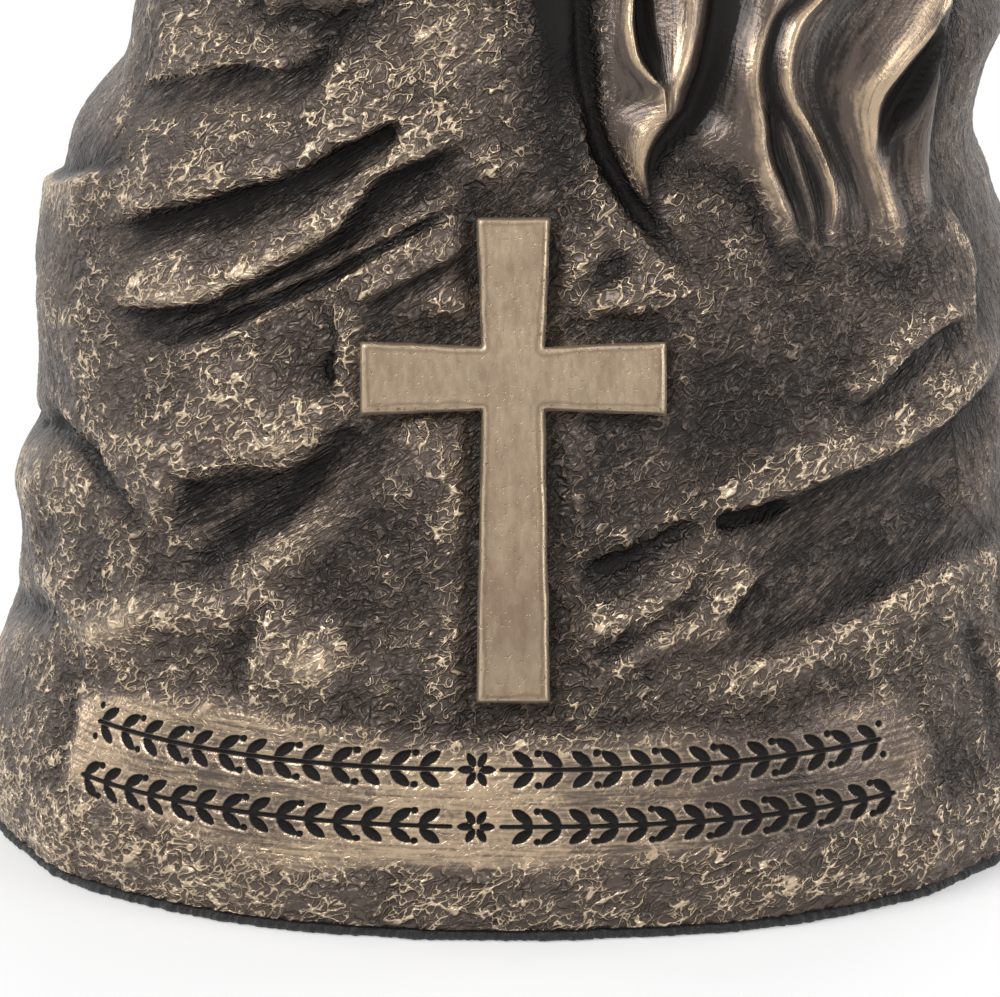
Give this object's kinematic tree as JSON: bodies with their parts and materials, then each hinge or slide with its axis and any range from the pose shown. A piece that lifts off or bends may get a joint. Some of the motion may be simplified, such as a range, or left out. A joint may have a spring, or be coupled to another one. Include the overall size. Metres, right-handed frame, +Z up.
{
  "type": "baby in hands statue",
  "caption": "Bronze-finish cast statue of cupped hands holding a sleeping baby above a craggy rock with a plain cross in relief and a smooth worn band below it.",
  "frame": {"origin": "middle of the felt pad's underside, on the surface the statue stands on", "axes": "+Z up, -Y towards the front with the cross, +X to the right seen from the front"},
  "size_m": [0.1302, 0.1184, 0.2023],
  "materials": {
    "bronze": "antiqued dark bronze with dry-brushed light edges",
    "felt": "black felt"
  },
  "bodies": {
    "root": {"statue": "bronze", "felt_pad": "felt"}
  },
  "joints": []
}
